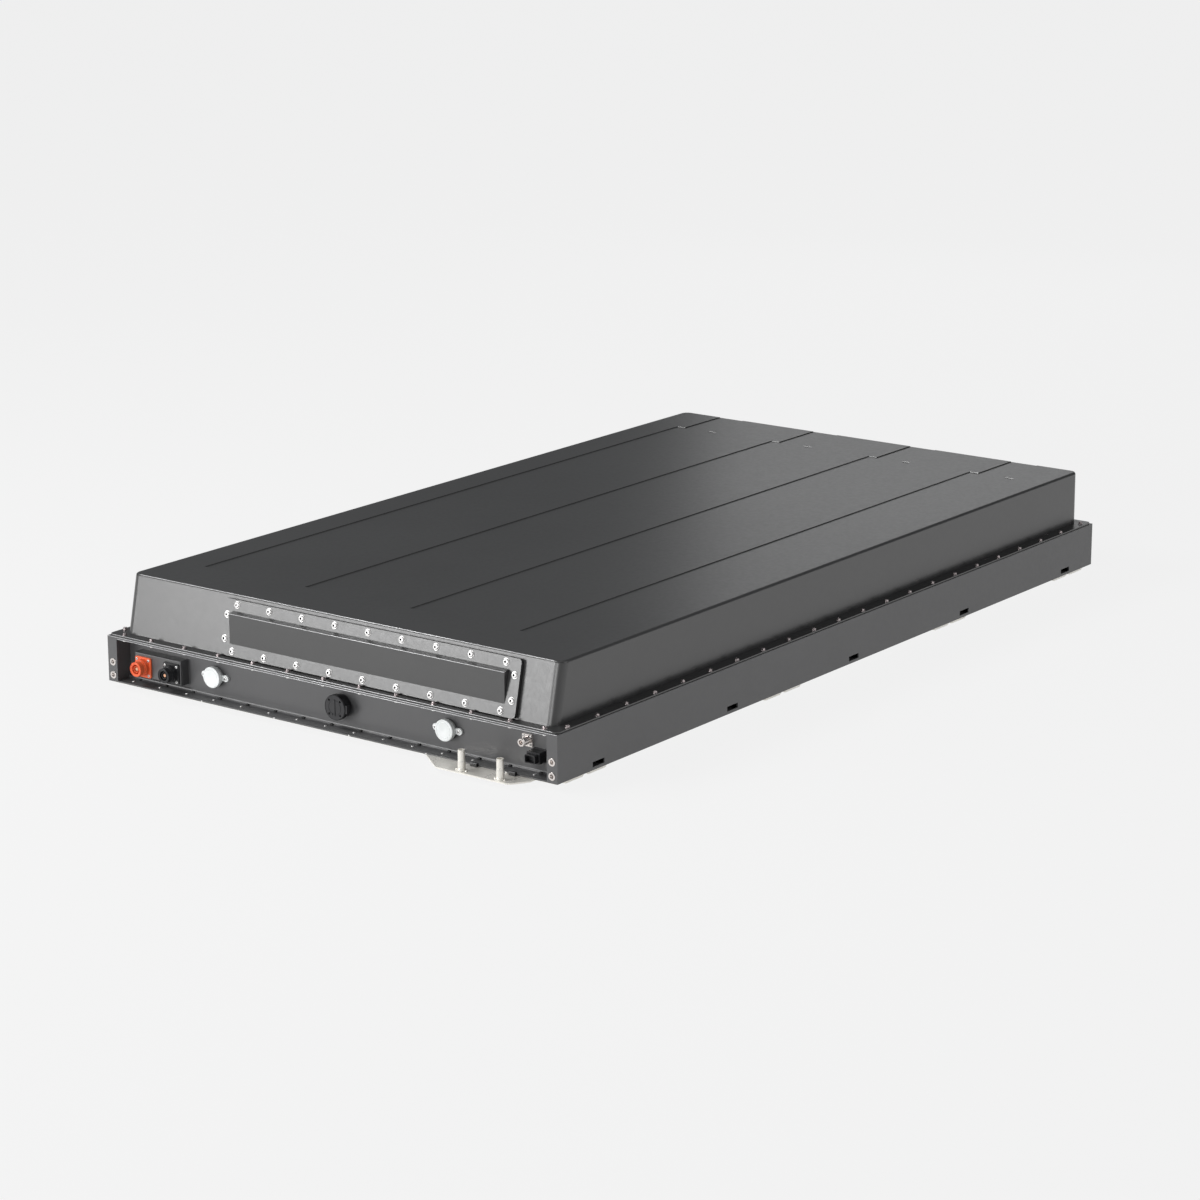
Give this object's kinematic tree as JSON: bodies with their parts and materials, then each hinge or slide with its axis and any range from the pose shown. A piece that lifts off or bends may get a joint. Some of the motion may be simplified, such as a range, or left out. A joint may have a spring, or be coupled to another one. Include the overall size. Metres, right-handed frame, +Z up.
{
  "type": "battery pack",
  "caption": "Flat liquid-cooled traction battery pack with a screwed deep cover, front sockets, vents and coolant spigots.",
  "frame": {"origin": "under the middle of the pack, on the plane its bottom ridges stand on", "axes": "+X to the right seen from the socket end, +Y from the socket end to the rear, +Z up"},
  "size_m": [1.25, 2.243, 0.254],
  "materials": {
    "frame_paint": "semi-gloss dark grey powder coat",
    "cover_paint": "satin dark grey paint",
    "plate_nickel": "bright nickel-coloured sheet",
    "bare_aluminium": "mill finish",
    "black_plastic": "moulded, satin",
    "orange_plastic": "moulded, high-voltage orange",
    "white_plastic": "moulded white",
    "rubber_seal": "foamed seal",
    "screw_steel": "zinc plated",
    "plated_metal": "nickel plated",
    "contact_brass": "copper alloy",
    "pad_grey": "soft gap filler",
    "cell_blue": "cans in blue film",
    "board_green": "circuit board",
    "fuse_ceramic": "ceramic body"
  },
  "bodies": {
    "root": {"side_beam_left": "frame_paint", "side_beam_right": "frame_paint", "front_beam": "frame_paint", "rear_beam": "frame_paint", "cross_beam": "bare_aluminium", "cold_plate": "plate_nickel", "coolant_inlet": "plate_nickel", "coolant_outlet": "plate_nickel", "plate_clamps": "black_plastic", "top_cover": "cover_paint", "cover_gasket": "rubber_seal", "access_panel": "cover_paint", "panel_gasket": "rubber_seal", "panel_screws": "screw_steel", "cover_screws": "screw_steel", "flange_nuts": "screw_steel", "ledge_screws": "screw_steel", "hv_bracket": "frame_paint", "hv_socket_orange": "orange_plastic", "hv_socket_black": "black_plastic", "hv_contacts": "contact_brass", "hv_socket_screws": "screw_steel", "vent_bodies": "white_plastic", "vent_caps": "white_plastic", "vent_screws": "screw_steel", "relief_valve_body": "black_plastic", "relief_valve_cap": "black_plastic", "signal_socket": "plated_metal", "signal_screws": "screw_steel", "lv_socket": "black_plastic", "rivet_nuts": "plated_metal", "thermal_pads": "pad_grey", "cells": "cell_blue", "end_plates": "bare_aluminium", "stack_straps": "screw_steel", "busbars": "bare_aluminium", "monitor_boards": "board_green", "hv_tray": "bare_aluminium", "contactors": "black_plastic", "hv_leads": "contact_brass", "main_fuse": "fuse_ceramic", "current_sensor": "black_plastic", "bms_unit": "black_plastic", "signal_leads": "rubber_seal", "pack_links": "contact_brass"}
  },
  "joints": []
}
